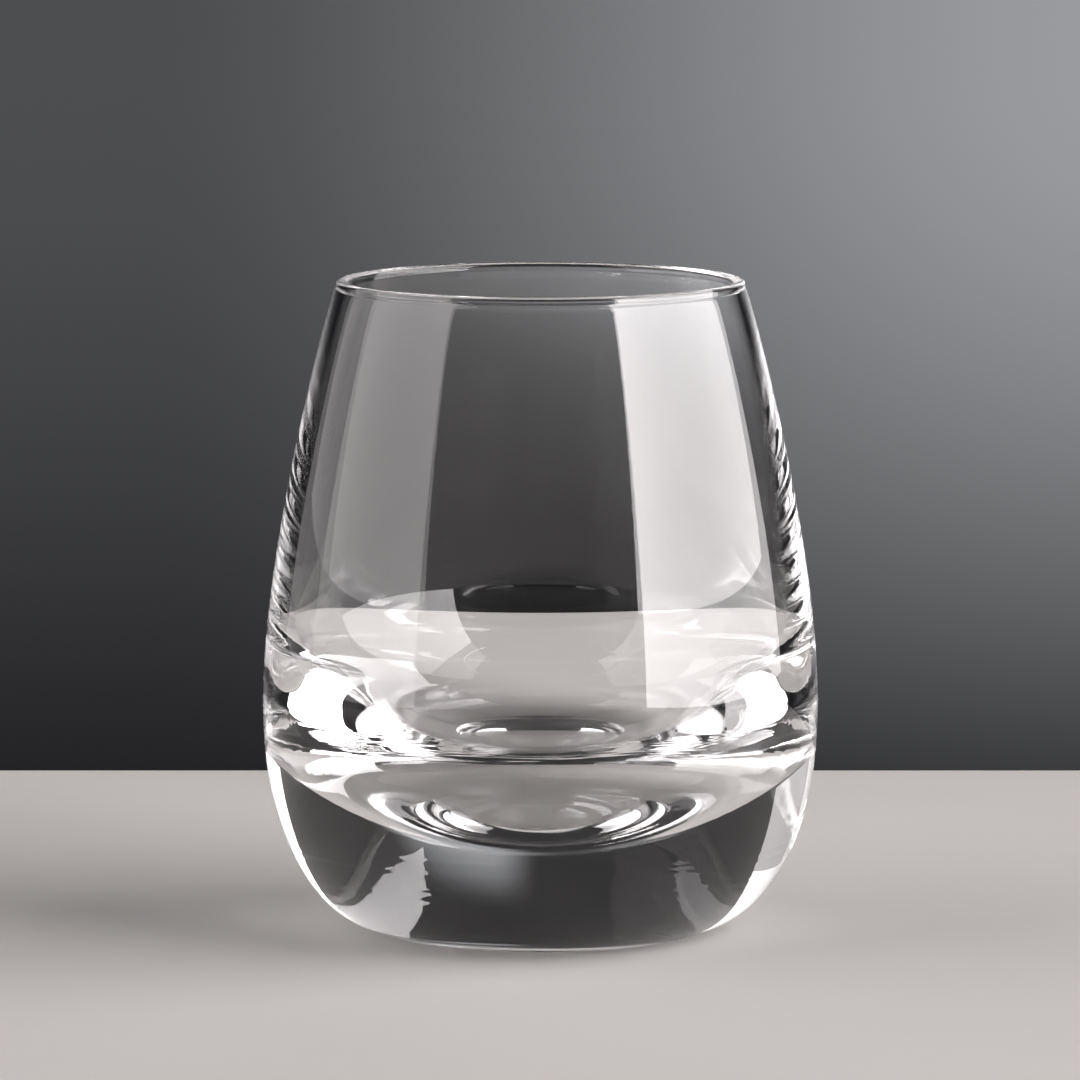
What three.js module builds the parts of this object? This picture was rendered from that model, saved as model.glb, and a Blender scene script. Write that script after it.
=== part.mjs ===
import * as THREE from 'three';

// A stemless whisky tasting glass, in millimetres, standing on z = 0 with its axis on Z.
// A solid heavy base swells to a belly, and a bowl tapers from there to a thin beaded rim.

// Outside of the glass
const OVERALL_HEIGHT = 98.4;
const BELLY_DIAMETER = 84;
const BELLY_HEIGHT = 34.2;
const FOOT_DIAMETER = 45;

// Rim: a bead with a low crown on top of the leaning wall, and the thinner wall a short drop below it
const RIM_DIAMETER = 61.5;
const BEAD_THICKNESS = 1.8;
const CROWN_RISE = 0.6;
const LIP_WALL = 1.6;
const LIP_DROP = 1.5;
const RIM_LEAN_DEGREES = 17.5;

// Hollow inside: its floor on the axis, its wall at the belly, and how far above the belly it is widest
const FLOOR_HEIGHT = 16.7;
const BELLY_WALL = 4.4;
const HOLLOW_RISE = 12.8;

// Underside: a dome inside the flat ring that the glass stands on
const FOOT_RING_WIDTH = 3;
const PUNT_DEPTH = 4.5;

// Fullness of the curves, as the lengths of their handles
const HEEL_FOOT_PULL = 8.3;
const HEEL_BELLY_PULL = 26.1;
const TAPER_BELLY_PULL = 19.5;
const TAPER_LIP_PULL = 12.25;
const DISH_FLOOR_PULL = 23.6;
const DISH_WALL_PULL = 14;
const HOLLOW_WALL_PULL = 10.4;
const HOLLOW_LIP_PULL = 13.2;
const BEAD_PULL = 0.75;

// Depth of the fire-polished rim below its crown
const RIM_DEPTH = 3.5;

// Facets
const FACETS_ROUND = 72;
const CURVE_STEPS = 12;
const PUNT_STEPS = 8;
const LIP_STEPS = 4;
const CROWN_STEPS = 8;
const LEAST_STEP = 0.3;

const bellyRadius = BELLY_DIAMETER / 2;
const footRadius = FOOT_DIAMETER / 2;
const puntRadius = footRadius - FOOT_RING_WIDTH;
const hollowRadius = bellyRadius - BELLY_WALL;
const hollowHeight = BELLY_HEIGHT + HOLLOW_RISE;
const rimLevel = OVERALL_HEIGHT - RIM_DEPTH;

const lean = THREE.MathUtils.degToRad(RIM_LEAN_DEGREES);
const beadHalf = BEAD_THICKNESS / 2;
const beadCentre = at(RIM_DIAMETER / 2 - beadHalf, OVERALL_HEIGHT - CROWN_RISE);
const acrossWall = at(Math.cos(lean), Math.sin(lean));
const downWall = at(Math.sin(lean), -Math.cos(lean));

// A profile point: its radius and its height.
function at(radius, height) {
  return new THREE.Vector2(radius, height);
}

function moved(point, direction, distance) {
  return point.clone().addScaledVector(direction, distance);
}

function smooth(start, startHandle, endHandle, end, steps) {
  return new THREE.CubicBezierCurve(start, startHandle, endHandle, end).getPoints(steps);
}

// The point of a rising outline at one level.
function onLevel(outline, level) {
  const above = Math.max(1, outline.findIndex((point) => point.y >= level));
  const low = outline[above - 1];
  const high = outline[above];
  return low.clone().lerp(high, (level - low.y) / (high.y - low.y));
}

// The stretch of a rising outline between two levels, with a point on each.
function between(outline, low, high) {
  const inner = outline.filter((point) => point.y > low + LEAST_STEP && point.y < high - LEAST_STEP);
  return [onLevel(outline, low), ...inner, onLevel(outline, high)];
}

// The lip on the outside (1) or the inside (-1), from the thinner wall up to the side of the bead.
function lipOutline(side) {
  const low = moved(moved(beadCentre, downWall, LIP_DROP), acrossWall, (side * LIP_WALL) / 2);
  const high = at(beadCentre.x + side * beadHalf, beadCentre.y);
  const lowHandle = moved(low, downWall, -BEAD_PULL);
  const highHandle = at(high.x, high.y - BEAD_PULL);
  return smooth(low, lowHandle, highHandle, high, LIP_STEPS);
}

function outsideOutline() {
  const foot = at(footRadius, 0);
  const footHandle = at(footRadius + HEEL_FOOT_PULL, 0);
  const belly = at(bellyRadius, BELLY_HEIGHT);
  const belowBelly = at(bellyRadius, BELLY_HEIGHT - HEEL_BELLY_PULL);
  const aboveBelly = at(bellyRadius, BELLY_HEIGHT + TAPER_BELLY_PULL);
  const lip = lipOutline(1);
  const lipHandle = moved(lip[0], downWall, TAPER_LIP_PULL);
  const heel = smooth(foot, footHandle, belowBelly, belly, CURVE_STEPS);
  const taper = smooth(belly, aboveBelly, lipHandle, lip[0], CURVE_STEPS);
  return [...heel, ...taper.slice(1), ...lip.slice(1)];
}

// The dish of the hollow leaves the axis level, and stands upright where the hollow is widest.
function insideOutline() {
  const floor = at(0, FLOOR_HEIGHT);
  const floorHandle = at(DISH_FLOOR_PULL, FLOOR_HEIGHT);
  const widest = at(hollowRadius, hollowHeight);
  const belowWidest = at(hollowRadius, hollowHeight - DISH_WALL_PULL);
  const aboveWidest = at(hollowRadius, hollowHeight + HOLLOW_WALL_PULL);
  const lip = lipOutline(-1);
  const lipHandle = moved(lip[0], downWall, HOLLOW_LIP_PULL);
  const dish = smooth(floor, floorHandle, belowWidest, widest, CURVE_STEPS);
  const wall = smooth(widest, aboveWidest, lipHandle, lip[0], CURVE_STEPS);
  return [...dish, ...wall.slice(1), ...lip.slice(1)];
}

function puntOutline() {
  const crown = at(0, PUNT_DEPTH);
  const edge = at(puntRadius, 0);
  return new THREE.QuadraticBezierCurve(crown, at(puntRadius / 2, PUNT_DEPTH), edge).getPoints(PUNT_STEPS);
}

// Over the bead from its outer side to its inner side, a half ellipse without its two ends.
function crownOutline() {
  const { x, y } = beadCentre;
  const arc = new THREE.EllipseCurve(x, y, beadHalf, CROWN_RISE, 0, Math.PI);
  return arc.getPoints(CROWN_STEPS).slice(1, -1);
}

// A profile that runs up the outside and down the inside, turned about the axis.
function turned(name, profile) {
  const geometry = new THREE.LatheGeometry(profile, FACETS_ROUND);
  geometry.rotateX(Math.PI / 2);
  const clearGlass = new THREE.MeshStandardMaterial({
    color: 0xf4f6f5,
    roughness: 0.03,
    metalness: 0,
    transparent: true,
    opacity: 0.3,
  });
  const mesh = new THREE.Mesh(geometry, clearGlass);
  mesh.name = name;
  return mesh;
}

function ring(name, profile) {
  return turned(name, [...profile, profile[0].clone()]);
}

const outside = outsideOutline();
const inside = insideOutline();

function heavyBase() {
  const heel = between(outside, 0, BELLY_HEIGHT);
  const dish = between(inside, FLOOR_HEIGHT, BELLY_HEIGHT).reverse();
  return turned('heavy_base', [...puntOutline(), ...heel, ...dish]);
}

function bowl() {
  const taper = between(outside, BELLY_HEIGHT, rimLevel);
  const wall = between(inside, BELLY_HEIGHT, rimLevel).reverse();
  return ring('bowl', [...taper, ...wall]);
}

function rim() {
  const outerTop = between(outside, rimLevel, outside.at(-1).y);
  const innerTop = between(inside, rimLevel, inside.at(-1).y).reverse();
  return ring('rim', [...outerTop, ...crownOutline(), ...innerTop]);
}

const glass = new THREE.Group();
glass.name = 'whisky_tasting_glass';
glass.add(heavyBase(), bowl(), rim());

export default glass;
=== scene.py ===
"""Stemless whisky tasting glass on a pale table top, between tall soft lights on its left and right."""
import math

import bpy
import numpy as np
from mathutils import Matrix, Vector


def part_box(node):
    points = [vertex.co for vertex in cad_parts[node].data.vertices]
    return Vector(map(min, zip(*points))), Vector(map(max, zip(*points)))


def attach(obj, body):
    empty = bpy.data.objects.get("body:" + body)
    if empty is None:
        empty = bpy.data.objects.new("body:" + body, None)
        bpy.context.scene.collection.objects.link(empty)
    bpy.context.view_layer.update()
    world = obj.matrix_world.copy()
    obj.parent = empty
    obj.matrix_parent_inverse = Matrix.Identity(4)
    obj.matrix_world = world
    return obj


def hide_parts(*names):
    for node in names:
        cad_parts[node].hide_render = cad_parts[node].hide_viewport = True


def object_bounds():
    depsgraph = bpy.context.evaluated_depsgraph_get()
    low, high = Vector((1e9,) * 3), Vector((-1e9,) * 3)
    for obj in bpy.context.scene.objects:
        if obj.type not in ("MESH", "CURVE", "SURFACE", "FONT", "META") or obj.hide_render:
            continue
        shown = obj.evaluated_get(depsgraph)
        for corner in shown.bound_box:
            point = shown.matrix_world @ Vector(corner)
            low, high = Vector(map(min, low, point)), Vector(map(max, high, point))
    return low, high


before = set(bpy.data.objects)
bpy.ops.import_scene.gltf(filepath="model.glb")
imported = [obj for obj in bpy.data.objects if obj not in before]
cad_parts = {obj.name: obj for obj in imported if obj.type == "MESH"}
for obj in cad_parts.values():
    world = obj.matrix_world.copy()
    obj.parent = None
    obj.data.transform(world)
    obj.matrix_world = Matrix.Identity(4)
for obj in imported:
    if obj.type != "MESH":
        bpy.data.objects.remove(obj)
cad_low, cad_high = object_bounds()
_, base_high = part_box("heavy_base")

MM = 0.001
QUARTER_TURN = 0.5 * math.pi

# Outside of the glass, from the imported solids
OVERALL_HEIGHT = cad_high[2]
BELLY_HEIGHT = base_high[2]
BELLY_RADIUS = base_high[0]

# Foot, underside and hollow
FOOT_RADIUS = 22.5 * MM
PUNT_RADIUS = 19.5 * MM
PUNT_DEPTH = 4.5 * MM
FLOOR_HEIGHT = 16.7 * MM
HOLLOW_RADIUS = 37.6 * MM
HOLLOW_HEIGHT = 47.0 * MM

# Rim bead with its low crown, and the thinner wall a short drop below it
RIM_RADIUS = 30.75 * MM
BEAD_HALF = 0.9 * MM
CROWN_RISE = 0.6 * MM
LIP_HALF_WALL = 0.8 * MM
LIP_DROP = 1.5 * MM
RIM_LEAN = math.radians(17.5)

# Lengths of the handles of the curves
HEEL_FOOT_PULL = 8.3 * MM
HEEL_BELLY_PULL = 26.1 * MM
TAPER_BELLY_PULL = 19.5 * MM
TAPER_LIP_PULL = 12.25 * MM
DISH_FLOOR_PULL = 23.6 * MM
DISH_WALL_PULL = 14.0 * MM
HOLLOW_WALL_PULL = 10.4 * MM
HOLLOW_LIP_PULL = 13.2 * MM
BEAD_PULL = 0.75 * MM

# Mesh of the glass
PROFILE_STEP = 1.08 * MM
TURN_LENGTH = 9.0 * MM
SEGMENTS_ROUND = 320
CURVE_POINTS = 400

# Clear glass: its refractive index, its two shades, and the thin film of handling on it
GLASS_INDEX = 1.52
GLASS_SHADES = ((0.99, 0.988, 0.99, 1.0), (1.0, 1.0, 1.0, 1.0))
FILM_SIZE = 14 * MM
FILM_LIMITS = (0.45, 0.9)
FILM_ROUGHNESS = 0.02

# Forming ripples on the heel: where they end, their length, the swing of their phase, their heights
HEEL_TOP = 19.0 * MM
HEEL_FADE = 6.0 * MM
RIPPLE_LENGTH = 2.1 * MM
RIPPLE_DRIFT = 20.0
HEEL_RIPPLE = 0.0015 * MM
FRONT_LEFT_RIPPLE = 0.014 * MM
FRONT_RIGHT_RIPPLE = 0.008 * MM

# The slow noise that shifts the ripples and makes them uneven: across, in depth and along the profile
DRIFT_SIZE = (45 * MM, 45 * MM, 4 * MM)
UNEVEN_SIZE = (30 * MM, 30 * MM, 3 * MM)
UNEVEN_LIMITS = (0.25, 0.7)

# Where the higher ripples fade: across for the left and the right side, in depth for the front
LEFT_FADE = (-8 * MM, 6 * MM)
RIGHT_FADE = (8 * MM, 16 * MM)
FRONT_FADE = (-18 * MM, -8 * MM)

# Table top: its edges, its finish and its mesh
TABLE_BACK = 0.154
TABLE_FRONT = -0.6
TABLE_HALF_WIDTH = 0.45
TABLE_NOSE = 0.004
TABLE_DEPTH = 0.03
STANDING_GAP = 0.02 * MM
TABLE_SHADES = ((0.45, 0.44, 0.425, 1.0), (0.49, 0.48, 0.465, 1.0))
TABLE_CLOUD = 90 * MM
TABLE_ROUGHNESS = 0.6
TABLE_ROWS = 40
TABLE_COLUMNS = 31
NOSE_POINTS = 9

# Lights: an area light's power for each unit of radiance and area, and enough bounces for
# the light that the wall carries up to the rim
POWER_PER_RADIANCE = 4.0
LIGHT_BOUNCES = 128
LIGHT_DISTANCE = 1.2
LIGHT_COLOUR = (1.0, 0.96, 0.965, 1.0)

# Levels where the lights start, where one gives way to the next, and where they end
LIGHT_BOTTOM = -0.05
RIGHT_LEVEL = 1.55
BACK_LEVEL = 0.63
LIGHT_TOP = 2.75

# Front and back edges of the lights on the right, on the left, and farther back on the left
RIGHT_EDGES = (-1.26, 0.62)
LEFT_EDGES = (-0.92, 0.4)
BACK_EDGES = (0.4, 1.1)

# Radiance of each light at its front and back edges
RIGHT_RADIANCE = (7.1, 3.1)
RIGHT_TOP_RADIANCE = (1.6, 1.6)
LEFT_RADIANCE = (1.8, 1.2)
BACK_RADIANCE = (0.45, 0.45)
BACK_TOP_RADIANCE = (1.3, 1.3)

# Backdrop: its two shades, and the limits of its low and high glow as parts of a unit direction
BACKDROP_SHADES = ((0.01, 0.01, 0.011, 1.0), (0.335, 0.34, 0.355, 1.0))
GLOW_BOTTOM = (-0.18, -0.06)
GLOW_LEVEL = (-0.04, 0.05)
GLOW_TOP = (0.05, 0.35)
GLOW_BEHIND = (0.9, 0.985)
LOW_GLOW_RIGHT = (-0.055, 0.09)
LOW_GLOW_LEFT_SHARE = 0.2
HIGH_GLOW_RIGHT = (0.0, 0.13)
HIGH_GLOW_SHARE = 1.2

# Camera, in front of the glass and looking a little down
CAMERA_DISTANCE = 1.1
CAMERA_HEIGHT = 0.19693
CAMERA_PITCH = math.radians(7.153)
FRAME_PIXELS = 1080
FOCAL_PIXELS = 7340.1
SHIFT_PIXELS = -0.5
SENSOR_WIDTH = 36.0

# Colour sockets of a Mix node, by number because its other sockets have the same names
MIX_FIRST = 6
MIX_SECOND = 7
MIX_RESULT = 2


def curve(start, start_handle, end_handle, end):
    """Cubic Bezier: the four points weighted by the Bernstein polynomials of an even parameter."""
    t = np.linspace(0.0, 1.0, CURVE_POINTS)[:, None]
    s = 1.0 - t
    points = [np.asarray(p, float) for p in (start, start_handle, end_handle, end)]
    return s**3 * points[0] + 3 * s**2 * t * points[1] + 3 * s * t**2 * points[2] + t**3 * points[3]


def lip(side, centre, across, down):
    """The wall on one side under the bead: it leaves the leaning wall and stands upright at the bead."""
    low = centre + down * LIP_DROP + across * side * LIP_HALF_WALL
    high = centre + np.array([side * BEAD_HALF, 0.0])
    return curve(low, low - down * BEAD_PULL, high - np.array([0.0, BEAD_PULL]), high)


def glass_profile():
    """Half section of the glass as (radius, height), from the middle of its underside round to its floor.

    A parabola for the underside, then Bezier curves up the outside, a half ellipse over the bead,
    and Bezier curves down the inside.
    """
    across = np.array([math.cos(RIM_LEAN), math.sin(RIM_LEAN)])
    down = np.array([math.sin(RIM_LEAN), -math.cos(RIM_LEAN)])
    centre = np.array([RIM_RADIUS - BEAD_HALF, OVERALL_HEIGHT - CROWN_RISE])

    part = np.linspace(0.0, 1.0, CURVE_POINTS)
    punt = np.stack([PUNT_RADIUS * part, PUNT_DEPTH * (1.0 - part**2)], axis=1)

    foot = (FOOT_RADIUS, 0.0)
    foot_handle = (FOOT_RADIUS + HEEL_FOOT_PULL, 0.0)
    belly = (BELLY_RADIUS, BELLY_HEIGHT)
    below_belly = (BELLY_RADIUS, BELLY_HEIGHT - HEEL_BELLY_PULL)
    above_belly = (BELLY_RADIUS, BELLY_HEIGHT + TAPER_BELLY_PULL)
    outer_lip = lip(1.0, centre, across, down)
    heel = curve(foot, foot_handle, below_belly, belly)
    taper = curve(belly, above_belly, outer_lip[0] + down * TAPER_LIP_PULL, outer_lip[0])

    turn = math.pi * part
    crown = centre + np.stack([BEAD_HALF * np.cos(turn), CROWN_RISE * np.sin(turn)], axis=1)

    widest = (HOLLOW_RADIUS, HOLLOW_HEIGHT)
    below_widest = (HOLLOW_RADIUS, HOLLOW_HEIGHT - DISH_WALL_PULL)
    above_widest = (HOLLOW_RADIUS, HOLLOW_HEIGHT + HOLLOW_WALL_PULL)
    inner_lip = lip(-1.0, centre, across, down)
    wall = curve(inner_lip[0], inner_lip[0] + down * HOLLOW_LIP_PULL, above_widest, widest)
    dish = curve(widest, below_widest, (DISH_FLOOR_PULL, FLOOR_HEIGHT), (0.0, FLOOR_HEIGHT))

    stretches = [punt, heel, taper[1:], outer_lip[1:], crown[1:], inner_lip[-2::-1], wall[1:], dish[1:]]
    return np.concatenate(stretches)


def length_along(profile):
    """The length of the profile from its start to each of its points."""
    return np.concatenate([[0.0], np.cumsum(np.linalg.norm(np.diff(profile, axis=0), axis=1))])


def closer_in_bends(profile, step):
    """The same profile with points a step apart, in length plus a set length for each radian of turn."""
    steps = np.diff(profile, axis=0)
    heading = np.unwrap(np.arctan2(steps[:, 1], steps[:, 0]))
    turned = np.cumsum(np.abs(np.gradient(heading)))
    measure = length_along(profile) + TURN_LENGTH * np.concatenate([[0.0], turned])
    places = np.linspace(0.0, measure[-1], round(measure[-1] / step) + 1)
    return np.stack([np.interp(places, measure, profile[:, axis]) for axis in (0, 1)], axis=1)


def mesh_object(name, vertices, faces, material):
    """A smooth object at the origin from vertex and face arrays; faces is a list of index arrays."""
    mesh = bpy.data.meshes.new(name)
    corners = np.concatenate([group.ravel() for group in faces])
    sizes = np.concatenate([np.full(len(group), group.shape[1]) for group in faces])
    mesh.vertices.add(len(vertices))
    mesh.vertices.foreach_set("co", np.asarray(vertices, np.float32).ravel())
    mesh.loops.add(len(corners))
    mesh.loops.foreach_set("vertex_index", corners.astype(np.int32))
    mesh.polygons.add(len(sizes))
    mesh.polygons.foreach_set("loop_start", (np.cumsum(sizes) - sizes).astype(np.int32))
    mesh.polygons.foreach_set("use_smooth", np.ones(len(sizes), bool))
    mesh.update(calc_edges=True)
    mesh.validate()
    mesh.materials.append(material)
    made = bpy.data.objects.new(name, mesh)
    bpy.context.collection.objects.link(made)
    return made


def heel_share(profile):
    """How far each point of the profile is on the outside of the heel: 1 low down, fading to 0 above.

    The fade is a smooth step: the square of the share times 3 less twice the share.
    """
    outside = np.arange(len(profile)) < profile[:, 1].argmax()
    share = np.clip((HEEL_TOP - profile[:, 1]) / HEEL_FADE, 0.0, 1.0)
    return outside * (profile[:, 0] >= FOOT_RADIUS) * share**2 * (3.0 - 2.0 * share)


def store(made, name, values):
    """Keeps a value for each ring of a turned object, and for its two poles, on the mesh's points."""
    spread = np.concatenate([np.repeat(values[1:-1], SEGMENTS_ROUND), values[:1], values[-1:]])
    layer = made.data.attributes.new(name, "FLOAT", "POINT")
    layer.data.foreach_set("value", spread.astype(np.float32))


def turned_object(name, profile, material):
    """A closed surface of revolution: the profile's radius times the cosine and sine of an even angle.

    The profile starts and ends on the axis, where all the facets share one point.
    """
    rings = profile[1:-1]
    angle = np.arange(SEGMENTS_ROUND) * (2.0 * math.pi / SEGMENTS_ROUND)
    radius = rings[:, :1]
    height = np.broadcast_to(rings[:, 1:], (len(rings), SEGMENTS_ROUND))
    grid = np.stack([radius * np.cos(angle), radius * np.sin(angle), height], axis=2).reshape(-1, 3)
    poles = np.array([[0.0, 0.0, profile[0, 1]], [0.0, 0.0, profile[-1, 1]]])
    vertices = np.concatenate([grid, poles])

    index = np.arange(len(grid)).reshape(len(rings), SEGMENTS_ROUND)
    beside = np.roll(index, -1, axis=1)
    quads = np.stack([index[:-1], beside[:-1], beside[1:], index[1:]], axis=2).reshape(-1, 4)
    start_pole = np.full(SEGMENTS_ROUND, len(grid))
    end_pole = start_pole + 1
    start_fan = np.stack([start_pole, beside[0], index[0]], axis=1)
    end_fan = np.stack([end_pole, index[-1], beside[-1]], axis=1)
    return mesh_object(name, vertices, [quads, start_fan, end_fan], material)


class Wire:
    """A shader socket; arithmetic on it adds Math nodes to its tree."""

    def __init__(self, tree, socket=None):
        self.tree = tree
        self.socket = socket

    def node(self, kind, settings=None, sockets=None, output=0):
        """Adds a node: its settings first, then a value or a wire on each named socket."""
        made = self.tree.nodes.new(kind)
        for name, value in (settings or {}).items():
            setattr(made, name, value)
        for name, value in (sockets or {}).items():
            if isinstance(value, Wire):
                self.tree.links.new(value.socket, made.inputs[name])
            else:
                made.inputs[name].default_value = value
        return Wire(self.tree, made.outputs[output] if made.outputs else None)

    def math(self, operation, *values):
        """Adds a Math node, with the values on its sockets in order."""
        return self.node("ShaderNodeMath", {"operation": operation}, dict(enumerate(values)))

    def __add__(self, other):
        return self.math("ADD", self, other)

    __radd__ = __add__

    def __sub__(self, other):
        return self.math("SUBTRACT", self, other)

    def __rsub__(self, other):
        return self.math("SUBTRACT", other, self)

    def __mul__(self, other):
        return self.math("MULTIPLY", self, other)

    __rmul__ = __mul__

    def sine(self):
        return self.math("SINE", self)

    def step(self, low, high):
        """0 below low, 1 above high, and smooth between them."""
        limits = {"Value": self, "From Min": low, "From Max": high}
        return self.node("ShaderNodeMapRange", {"interpolation_type": "SMOOTHSTEP"}, limits)


def new_material(name):
    """A material with an empty node tree, and a wire to build it from."""
    material = bpy.data.materials.new(name)
    material.use_nodes = True
    material.node_tree.nodes.clear()
    return material, Wire(material.node_tree)


def noise(wire, place, size, detail=2.0, roughness=0.5):
    """Noise between 0 and 1 whose features are about size across, size being one length or three."""
    lengths = size if isinstance(size, tuple) else (size, size, size)
    scale = tuple(1.0 / length for length in lengths)
    scaled = wire.node("ShaderNodeMapping", {}, {"Vector": place, "Scale": scale})
    settings = {"Vector": scaled, "Scale": 1.0, "Detail": detail, "Roughness": roughness}
    return wire.node("ShaderNodeTexNoise", {}, settings, "Fac")


def mixed(wire, factor, first, second):
    """One colour passing into another as the factor goes from 0 to 1."""
    sockets = {"Factor": factor, MIX_FIRST: first, MIX_SECOND: second}
    return wire.node("ShaderNodeMix", {"data_type": "RGBA"}, sockets, MIX_RESULT)


def clear_glass():
    """Colourless fire-polished glass with level ripples on its heel and a thin film of handling.

    The ripples are a sine of the length along the profile, its phase and height varied by slow noise.
    They are strongest at the front left of the heel and weaker at its front right.
    """
    material, wire = new_material("clear_glass")
    place = wire.node("ShaderNodeTexCoord", output="Object")
    along = wire.node("ShaderNodeAttribute", {"attribute_name": "along"}, output="Fac")
    heel = wire.node("ShaderNodeAttribute", {"attribute_name": "heel"}, output="Fac")
    x = wire.node("ShaderNodeSeparateXYZ", {}, {"Vector": place}, "X")
    y = wire.node("ShaderNodeSeparateXYZ", {}, {"Vector": place}, "Y")
    level = wire.node("ShaderNodeCombineXYZ", {}, {"X": x, "Y": y, "Z": along})

    drift = noise(wire, level, DRIFT_SIZE, detail=1.0)
    ripple = (along * (2.0 * math.pi / RIPPLE_LENGTH) + drift * RIPPLE_DRIFT).sine()
    left = 1.0 - x.step(*LEFT_FADE)
    right = x.step(*RIGHT_FADE)
    front = 1.0 - y.step(*FRONT_FADE)
    uneven = noise(wire, level, UNEVEN_SIZE, detail=0.0).step(*UNEVEN_LIMITS)
    sides = FRONT_LEFT_RIPPLE * left + FRONT_RIGHT_RIPPLE * right
    height = ripple * (heel * (HEEL_RIPPLE + sides * front * uneven))
    normal = wire.node("ShaderNodeBump", {}, {"Strength": 1.0, "Distance": 1.0, "Height": height})

    film = noise(wire, place, FILM_SIZE, detail=4.0, roughness=0.6)
    glass = wire.node("ShaderNodeBsdfPrincipled", {}, {
        "Base Color": mixed(wire, film, *GLASS_SHADES),
        "Roughness": film.step(*FILM_LIMITS) * FILM_ROUGHNESS,
        "IOR": GLASS_INDEX,
        "Transmission Weight": 1.0,
        "Normal": normal,
    })
    wire.node("ShaderNodeOutputMaterial", {}, {"Surface": glass})
    return material


def pale_top():
    """Pale matt table top with a faint cloudy variation."""
    material, wire = new_material("pale_top")
    place = wire.node("ShaderNodeTexCoord", output="Object")
    cloud = noise(wire, place, TABLE_CLOUD, detail=3.0)
    matt = wire.node("ShaderNodeBsdfPrincipled", {}, {
        "Base Color": mixed(wire, cloud, *TABLE_SHADES),
        "Roughness": TABLE_ROUGHNESS,
        "Specular IOR Level": 0.0,
    })
    wire.node("ShaderNodeOutputMaterial", {}, {"Surface": matt})
    return material


def table_top(material):
    """A level top with a rounded back edge: a profile of height over depth, carried straight across."""
    turn = np.linspace(0.0, QUARTER_TURN, NOSE_POINTS)
    nose_y = TABLE_BACK - TABLE_NOSE + TABLE_NOSE * np.sin(turn)
    nose_z = TABLE_NOSE * np.cos(turn) - TABLE_NOSE
    level_y = np.linspace(TABLE_FRONT, nose_y[0], TABLE_ROWS)[:-1]
    depth = np.concatenate([level_y, nose_y, [TABLE_BACK]])
    height = np.concatenate([np.zeros(len(level_y)), nose_z, [-TABLE_DEPTH]]) - STANDING_GAP
    across = np.linspace(-TABLE_HALF_WIDTH, TABLE_HALF_WIDTH, TABLE_COLUMNS)
    x, y = np.meshgrid(across, depth)
    z = np.broadcast_to(height[:, None], x.shape)
    vertices = np.stack([x, y, z], axis=2).reshape(-1, 3)
    index = np.arange(len(vertices)).reshape(x.shape)
    corners = [index[:-1, :-1], index[:-1, 1:], index[1:, 1:], index[1:, :-1]]
    quads = np.stack(corners, axis=2).reshape(-1, 4)
    return mesh_object("table_top", vertices, [quads], material)


def soft_light(name, side, depth, height, radiance):
    """An upright area light beside the glass that faces it; each pair is front and back, or bottom and top.

    Its strength is the front radiance plus the difference times the place across its width, from 0 to 1.
    """
    front, back = depth
    bottom, top = height
    front_radiance, back_radiance = radiance
    data = bpy.data.lights.new(name, "AREA")
    data.shape = "RECTANGLE"
    data.size = top - bottom
    data.size_y = back - front
    data.energy = POWER_PER_RADIANCE * data.size * data.size_y
    data.use_nodes = True
    data.node_tree.nodes.clear()
    wire = Wire(data.node_tree)
    place = wire.node("ShaderNodeNewGeometry", output="Parametric")
    across = wire.node("ShaderNodeSeparateXYZ", {}, {"Vector": place}, "Y")
    strength = front_radiance + (back_radiance - front_radiance) * across
    glow = wire.node("ShaderNodeEmission", {}, {"Color": LIGHT_COLOUR, "Strength": strength})
    wire.node("ShaderNodeOutputLight", {}, {"Surface": glow})
    light = bpy.data.objects.new(name, data)
    light.location = (side, 0.5 * (front + back), 0.5 * (bottom + top))
    light.rotation_euler = (0.0, math.copysign(QUARTER_TURN, side), 0.0)
    light.visible_camera = False
    bpy.context.collection.objects.link(light)


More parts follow.
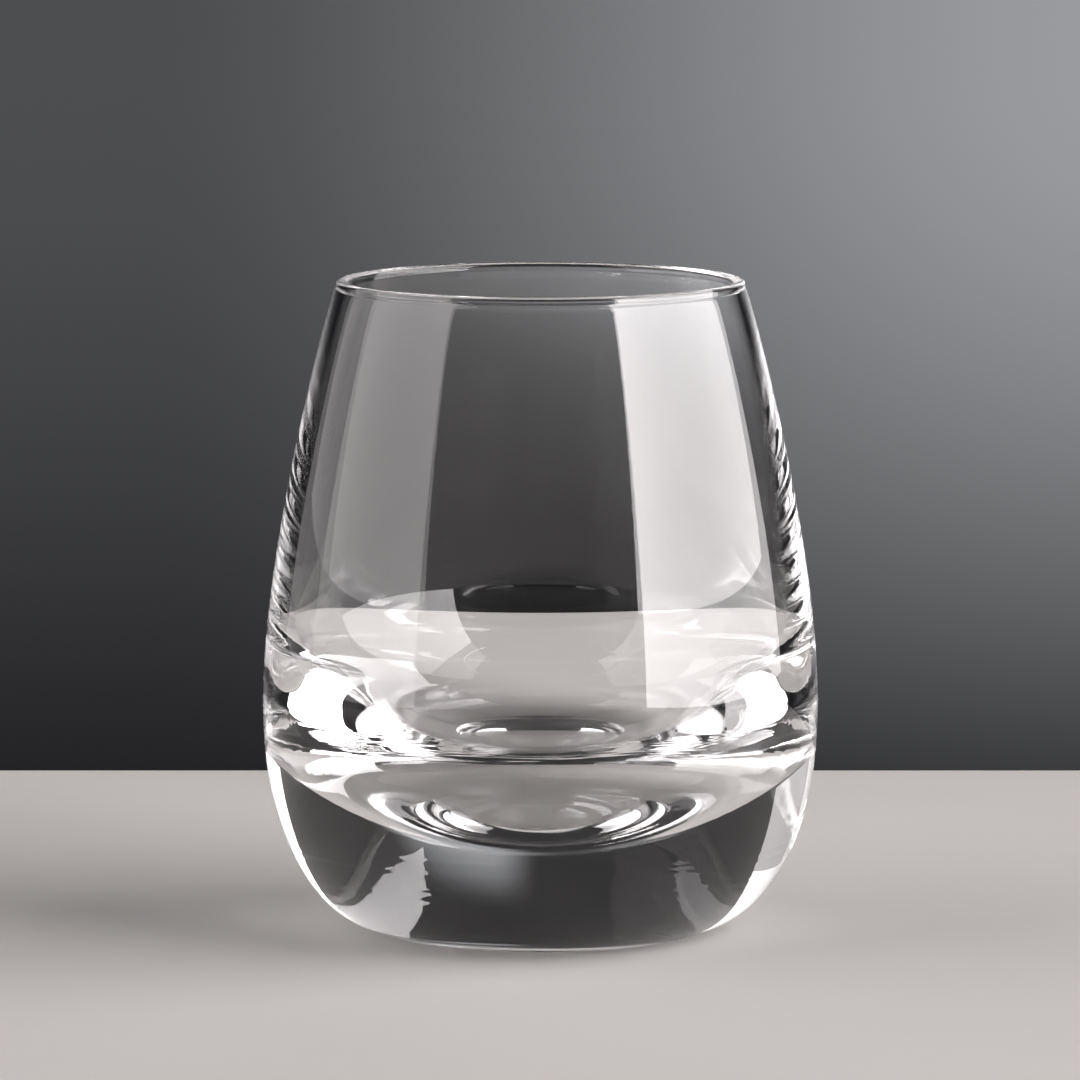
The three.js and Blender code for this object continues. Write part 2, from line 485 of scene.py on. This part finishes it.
def grey_backdrop():
    """A dark grey studio with a soft glow behind the glass, brightest to the right of it.

    The low glow keeps a share of its strength on the left, and the high glow is on the right alone.
    """
    world = bpy.data.worlds.new("grey_backdrop")
    world.use_nodes = True
    world.node_tree.nodes.clear()
    wire = Wire(world.node_tree)
    direction = wire.node("ShaderNodeTexCoord", output="Generated")
    right = wire.node("ShaderNodeSeparateXYZ", {}, {"Vector": direction}, "X")
    behind = wire.node("ShaderNodeSeparateXYZ", {}, {"Vector": direction}, "Y")
    up = wire.node("ShaderNodeSeparateXYZ", {}, {"Vector": direction}, "Z")
    low_side = LOW_GLOW_LEFT_SHARE + (1.0 - LOW_GLOW_LEFT_SHARE) * right.step(*LOW_GLOW_RIGHT)
    low = up.step(*GLOW_BOTTOM) * (1.0 - up.step(*GLOW_LEVEL)) * low_side
    high = up.step(*GLOW_LEVEL) * (1.0 - up.step(*GLOW_TOP)) * right.step(*HIGH_GLOW_RIGHT)
    glow = (low + HIGH_GLOW_SHARE * high) * behind.step(*GLOW_BEHIND)
    grey = mixed(wire, glow, *BACKDROP_SHADES)
    shade = wire.node("ShaderNodeBackground", {}, {"Color": grey, "Strength": 1.0})
    wire.node("ShaderNodeOutputWorld", {}, {"Surface": shade})
    bpy.context.scene.world = world


def front_camera():
    """The camera that the glass is seen from, higher than its rim and looking a little down."""
    data = bpy.data.cameras.new("front_camera")
    data.sensor_width = SENSOR_WIDTH
    data.lens = FOCAL_PIXELS / FRAME_PIXELS * SENSOR_WIDTH
    data.shift_x = SHIFT_PIXELS / FRAME_PIXELS
    camera = bpy.data.objects.new("front_camera", data)
    camera.location = (0.0, -CAMERA_DISTANCE, CAMERA_HEIGHT)
    camera.rotation_euler = (QUARTER_TURN - CAMERA_PITCH, 0.0, 0.0)
    bpy.context.collection.objects.link(camera)
    bpy.context.scene.camera = camera


profile = closer_in_bends(glass_profile(), PROFILE_STEP)
glass = turned_object("glass_body", profile, clear_glass())
store(glass, "along", length_along(profile))
store(glass, "heel", heel_share(profile))
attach(glass, "root")
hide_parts("heavy_base", "bowl", "rim")

table_top(pale_top())
soft_light("right_light", LIGHT_DISTANCE, RIGHT_EDGES, (LIGHT_BOTTOM, RIGHT_LEVEL), RIGHT_RADIANCE)
soft_light("right_top_light", LIGHT_DISTANCE, RIGHT_EDGES, (RIGHT_LEVEL, LIGHT_TOP), RIGHT_TOP_RADIANCE)
soft_light("left_light", -LIGHT_DISTANCE, LEFT_EDGES, (LIGHT_BOTTOM, LIGHT_TOP), LEFT_RADIANCE)
soft_light("left_back_light", -LIGHT_DISTANCE, BACK_EDGES, (LIGHT_BOTTOM, BACK_LEVEL), BACK_RADIANCE)
soft_light("left_back_top_light", -LIGHT_DISTANCE, BACK_EDGES, (BACK_LEVEL, LIGHT_TOP), BACK_TOP_RADIANCE)
grey_backdrop()
front_camera()

scene = bpy.context.scene
scene.view_settings.view_transform = "Standard"
scene.cycles.max_bounces = LIGHT_BOUNCES
scene.cycles.transmission_bounces = LIGHT_BOUNCES
scene.cycles.glossy_bounces = LIGHT_BOUNCES
